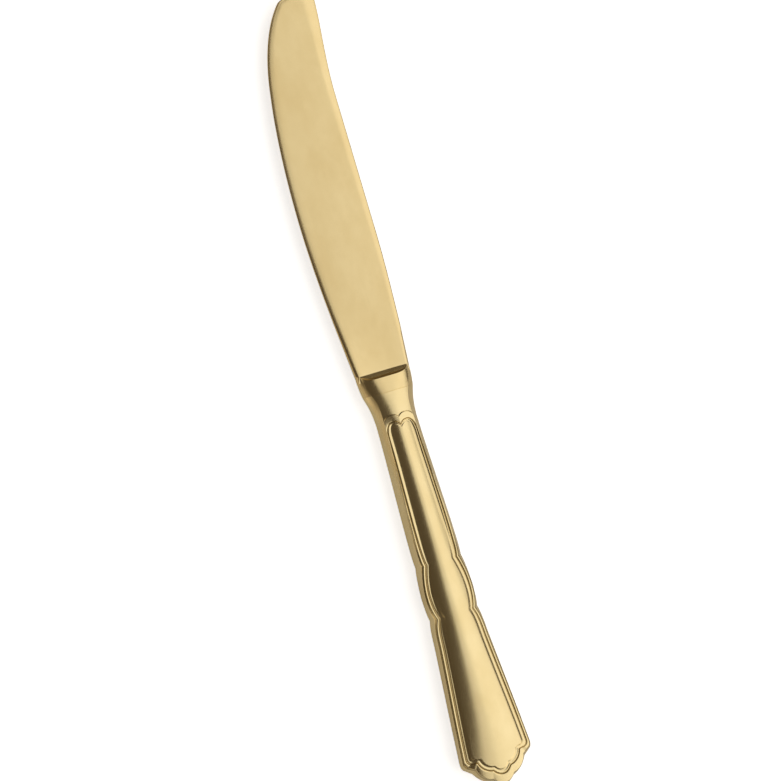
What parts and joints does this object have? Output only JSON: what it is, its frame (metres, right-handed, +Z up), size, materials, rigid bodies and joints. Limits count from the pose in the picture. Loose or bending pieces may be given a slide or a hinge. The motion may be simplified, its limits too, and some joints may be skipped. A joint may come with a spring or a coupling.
{
  "type": "table knife",
  "caption": "Dinner knife for cutting food at the table: forged blade with a swept point, and a hollow handle of stamped shells with a scalloped thread-and-bead border.",
  "frame": {"origin": "middle of the knife's box, on the surface that it lies on", "axes": "+Y along the handle towards the blade's point, +X towards the spine and -X towards the cutting edge, +Z up through the face that the picture shows"},
  "size_m": [0.0234, 0.235, 0.0084],
  "materials": {
    "blade_metal": "satin, gold-coloured coating",
    "handle_metal": "satin, gold-coloured coating",
    "braze_metal": "as cast",
    "filling": "matt, as cast"
  },
  "bodies": {
    "root": {"blade": "blade_metal", "front_shell": "handle_metal", "back_shell": "handle_metal", "seam_braze": "braze_metal", "neck_braze": "braze_metal", "handle_filling": "filling"}
  },
  "joints": []
}
